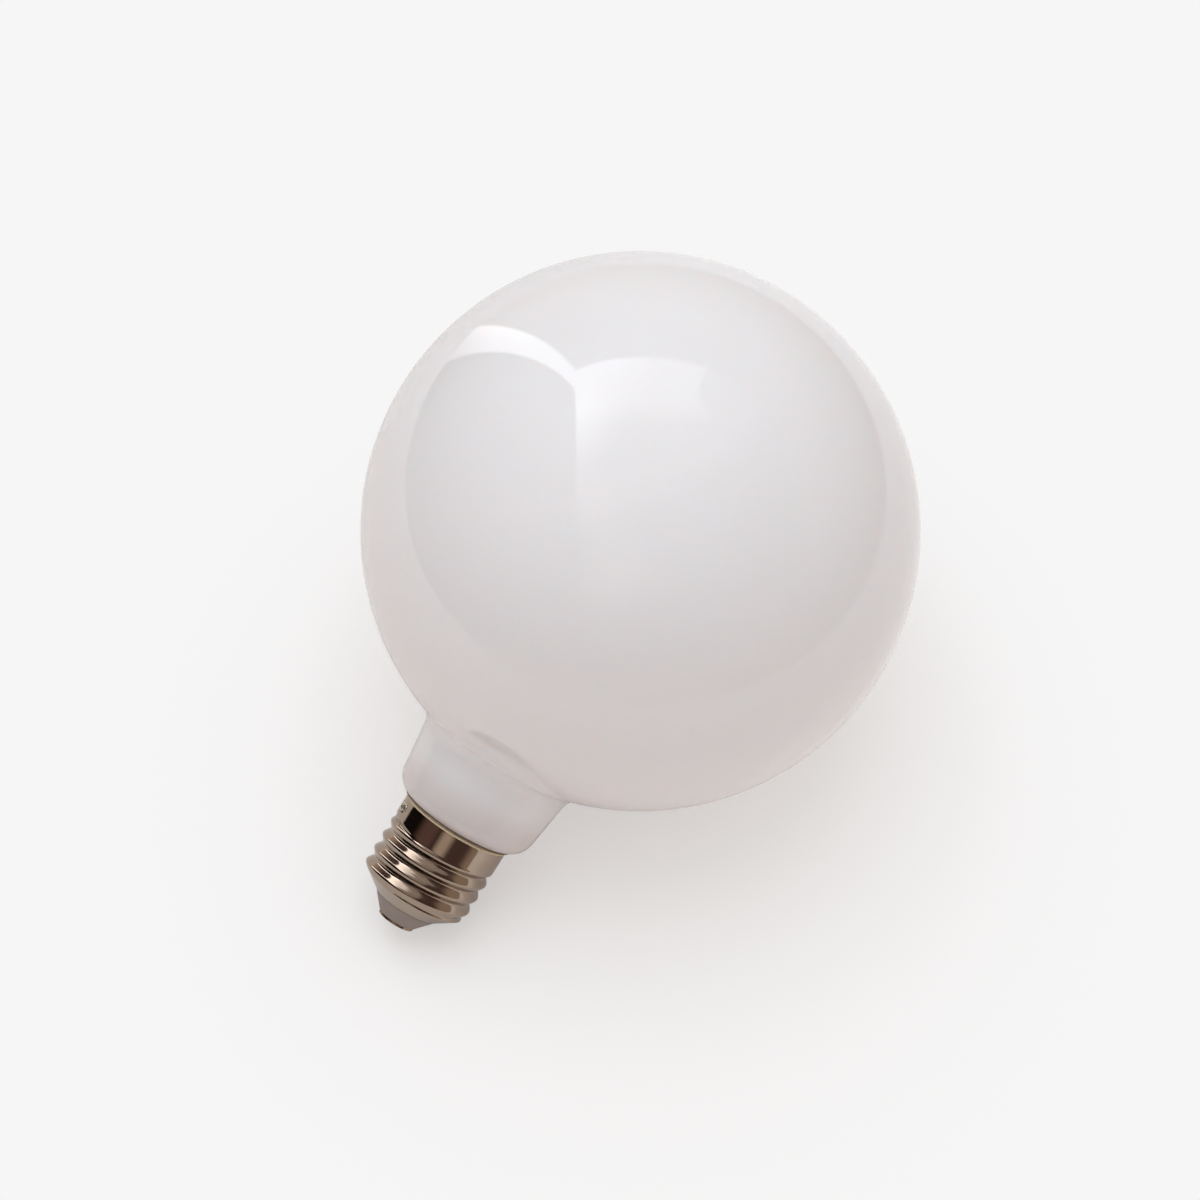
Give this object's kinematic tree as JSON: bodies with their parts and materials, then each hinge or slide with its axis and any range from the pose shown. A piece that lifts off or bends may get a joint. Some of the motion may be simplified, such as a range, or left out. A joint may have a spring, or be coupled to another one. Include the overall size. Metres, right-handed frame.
{
  "type": "led light bulb",
  "caption": "Opal globe LED lamp: a large white glass globe with a short tapered neck on a rolled screw cap with a flared lip, a moulded insulator cone and a centre contact.",
  "frame": {"origin": "centre of the tip contact's face, on the lamp's axis", "axes": "+Z along the lamp's axis, from the screw cap to the top of the globe; +X is the bearing of the thread's start and the side lead comes out at 247 degrees from it"},
  "size_m": [0.125, 0.125, 0.1679],
  "materials": {
    "opal_glass": "glossy opal white, not clear",
    "nickel_plate": "bright nickel plate on rolled sheet",
    "solder": "dull rough solder",
    "grey_insulator": "matt moulded grey",
    "contact_metal": "plated contact metal",
    "cement": "matt capping cement",
    "tinned_wire": "tinned wire",
    "circuit_board": "solder mask on glass fibre board",
    "black_package": "moulded black package",
    "capacitor_can": "sleeved can",
    "resistor_body": "lacquered resistor body",
    "white_sleeve": "thin plastic sleeve"
  },
  "bodies": {
    "root": {"glass_globe": "opal_glass", "screw_shell": "nickel_plate", "side_solder": "solder", "cap_insulator": "grey_insulator", "centre_contact": "contact_metal", "contact_pin": "contact_metal", "capping_cement": "cement", "centre_lead": "tinned_wire", "side_lead": "tinned_wire", "output_lead_positive": "tinned_wire", "output_lead_negative": "tinned_wire", "driver_board": "circuit_board", "bridge_rectifier": "black_package", "driver_chip": "black_package", "smoothing_capacitor": "capacitor_can", "fusible_resistor": "resistor_body", "chip_resistors": "black_package", "insulating_sleeve": "white_sleeve"}
  },
  "joints": []
}
